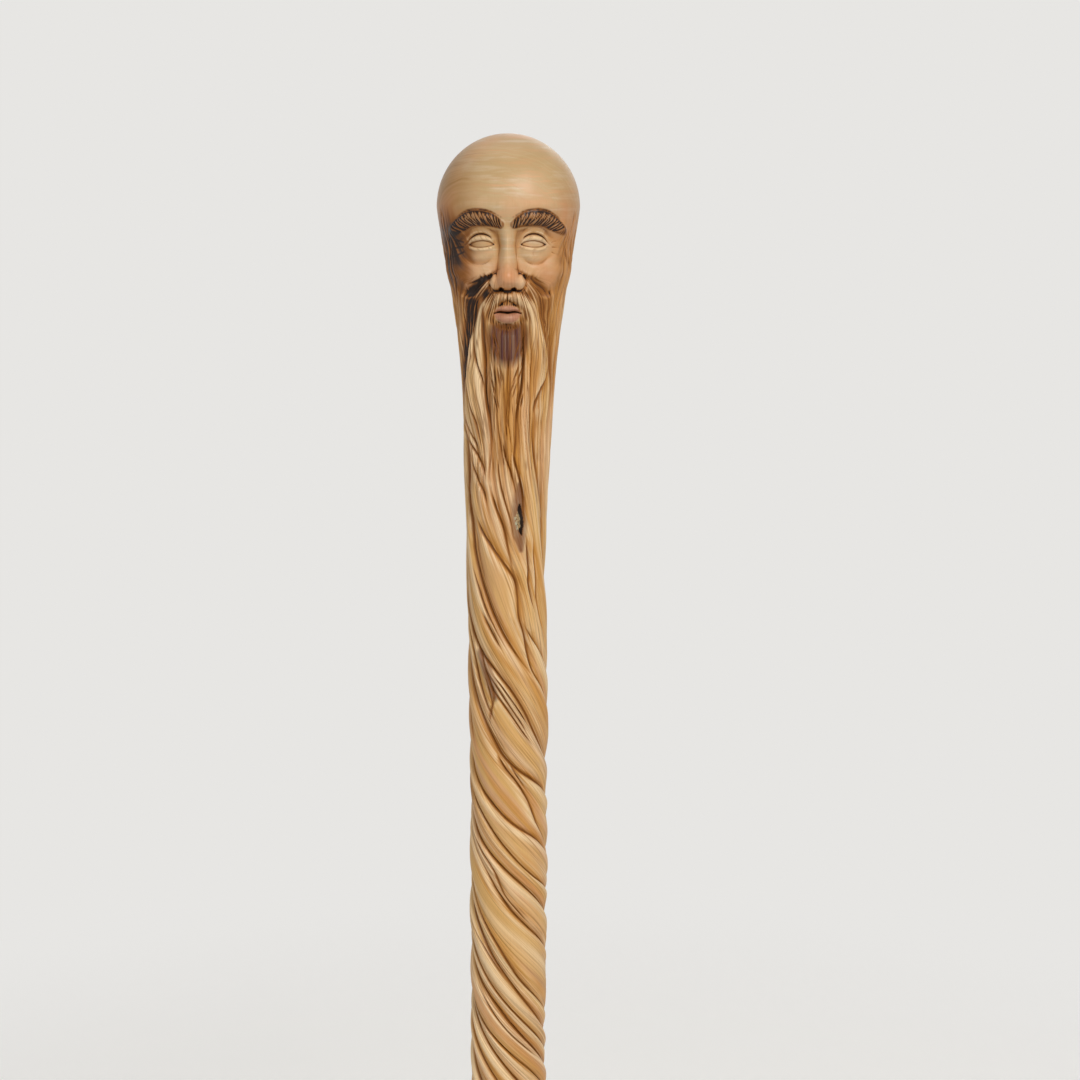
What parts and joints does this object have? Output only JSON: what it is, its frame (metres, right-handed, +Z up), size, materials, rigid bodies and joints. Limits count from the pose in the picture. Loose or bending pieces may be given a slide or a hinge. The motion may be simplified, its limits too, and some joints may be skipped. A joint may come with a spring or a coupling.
{
  "type": "carved walking cane",
  "caption": "One-piece hardwood walking cane with a round knob carved as a bearded head, locks twisting round the shaft, and a push-on rubber tip.",
  "frame": {"origin": "centre of the rubber tip's ground face", "axes": "+Z up along the stick to the crown of the knob, -Y the way the carved face looks, +X to the right of someone looking at the face"},
  "size_m": [0.0519, 0.0521, 0.92],
  "materials": {
    "carved_stick": "carved hardwood with stained hollows under satin varnish",
    "tip_washer": "zinc plated",
    "rubber_tip": "moulded black rubber"
  },
  "bodies": {
    "root": {"carved_stick": "carved_stick", "tip_washer": "tip_washer", "rubber_tip": "rubber_tip"}
  },
  "joints": []
}
